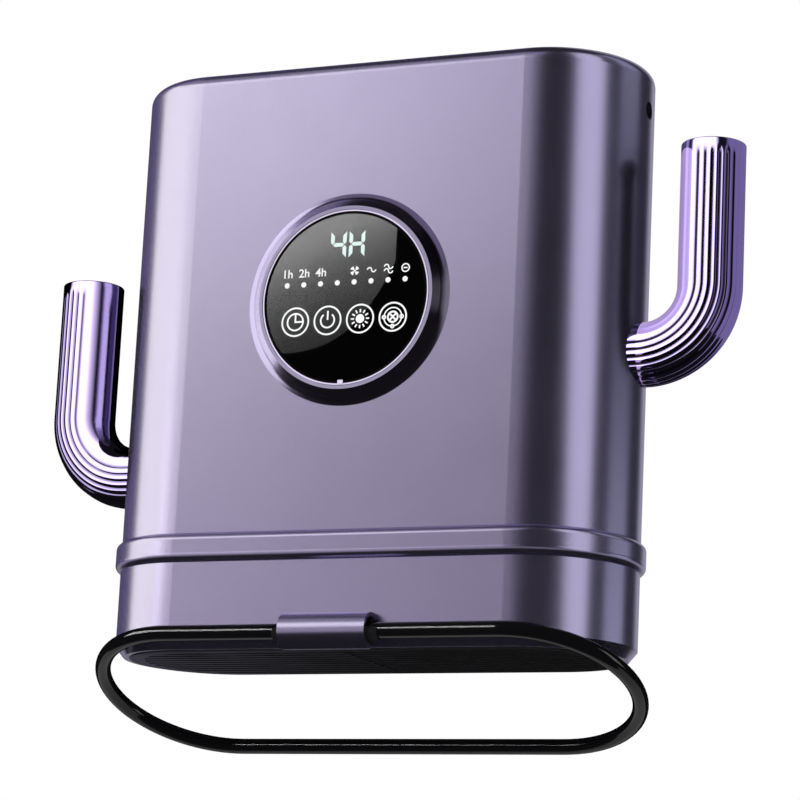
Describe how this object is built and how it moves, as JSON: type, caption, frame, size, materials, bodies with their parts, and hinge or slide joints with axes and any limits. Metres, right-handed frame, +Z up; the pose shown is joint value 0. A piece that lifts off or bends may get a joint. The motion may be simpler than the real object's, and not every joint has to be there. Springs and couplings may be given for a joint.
{
  "type": "warm air dryer head",
  "caption": "Tall flat warm-air dryer head with round touch panel, ribbed upturned elbow arms, a bead for a drying bag and a hinged wire hoop below its slatted outlet.",
  "frame": {"origin": "midway between the two hanging sockets near the top, on the body's middle plane", "axes": "+Z up, +X to the right end with the higher arm, the panel faces -Y"},
  "size_m": [0.2868, 0.0872, 0.2602],
  "materials": {
    "casing": "satin metallic lavender paint on moulded plastic",
    "plated": "mirror purple plating on moulded plastic",
    "bezel": "bright lavender plating",
    "black_plastic": "satin black",
    "lens": "polished black lens",
    "wire": "gloss black coating on steel wire",
    "clip_rubber": "black",
    "gasket_rubber": "dark grey",
    "hose_rubber": "grey",
    "light_plastic": "natural white",
    "duct_plastic": "dark grey, heat resistant",
    "board": "green laminate",
    "component": "black",
    "steel": "plain",
    "pin_brass": "plain",
    "fin_alu": "plain",
    "filter": "open grey foam",
    "casing_back": "satin metallic lavender paint on moulded plastic"
  },
  "bodies": {
    "housing": {"air_plenum": "duct_plastic", "base_skirt": "casing", "blower_cover": "duct_plastic", "blower_motor": "steel", "blower_scroll": "duct_plastic", "clip_keeper": "steel", "clip_liner": "clip_rubber", "control_board": "board", "display_module": "component", "heater_elements": "fin_alu", "heater_fins": "fin_alu", "heater_frame": "duct_plastic", "hoop_clip": "casing", "indicator_light_bar": "light_plastic", "inlet_pins": "pin_brass", "intake_filter": "filter", "intake_grille": "casing_back", "ion_emitter": "duct_plastic", "ion_module": "component", "left_arm": "plated", "left_arm_gasket": "gasket_rubber", "left_arm_hose": "hose_rubber", "left_arm_nut": "light_plastic", "left_arm_outlet": "black_plastic", "left_hanger_bush": "black_plastic", "main_housing": "casing", "outlet_diffuser": "duct_plastic", "outlet_grille": "black_plastic", "panel_bezel": "bezel", "panel_glass": "lens", "panel_lock_ring": "light_plastic", "power_board": "board", "power_components": "component", "power_inlet": "black_plastic", "right_arm": "plated", "right_arm_gasket": "gasket_rubber", "right_arm_hose": "hose_rubber", "right_arm_nut": "light_plastic", "right_arm_outlet": "black_plastic", "right_hanger_bush": "black_plastic", "thermal_cutout": "component", "touch_pads": "steel", "trim_ring": "bezel"},
    "hoop": {"bag_hoop": "wire"},
    "rotor": {"blower_wheel": "light_plastic", "motor_shaft": "steel"}
  },
  "joints": [
    {"name": "hoop_hinge", "type": "hinge", "parent": "housing", "child": "hoop", "pos_m": [0, -0.0408, -0.2055], "axis": [1, 0, 0], "range_deg": [-65.4, 24.6]},
    {"name": "blower_spin", "type": "hinge", "parent": "housing", "child": "rotor", "pos_m": [0, 0, -0.0458], "axis": [0, 1, 0], "continuous": true}
  ]
}
